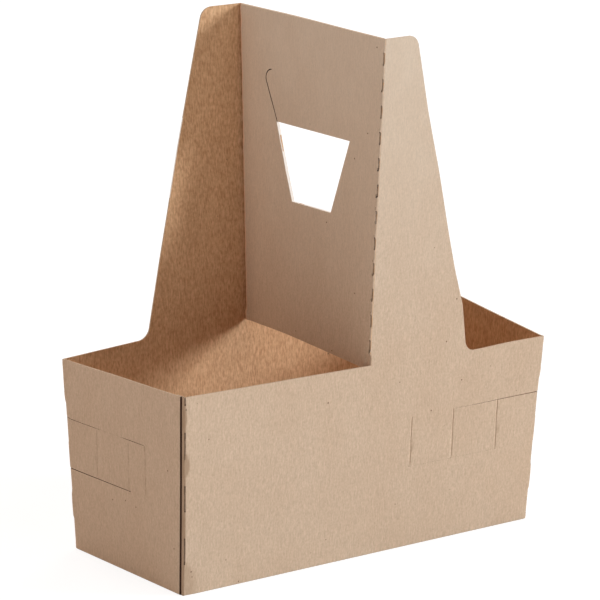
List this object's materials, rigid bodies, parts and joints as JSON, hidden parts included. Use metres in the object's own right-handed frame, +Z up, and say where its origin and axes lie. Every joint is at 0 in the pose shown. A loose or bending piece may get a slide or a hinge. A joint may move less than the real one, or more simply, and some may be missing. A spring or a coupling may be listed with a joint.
{
  "type": "cardboard cup carrier",
  "caption": "Folded kraft paperboard drink carrier: open flared tray with leaning wings and a centre handle panel with a tapered hand hole.",
  "frame": {"origin": "middle of the underside", "axes": "+X along the tray away from the glued corner's end, -Y towards the front wall, +Z up through the handle"},
  "size_m": [0.203, 0.1096, 0.24],
  "materials": {
    "kraft_board": "uncoated matte kraft board"
  },
  "bodies": {
    "root": {"folded_carrier": "kraft_board"}
  },
  "joints": []
}
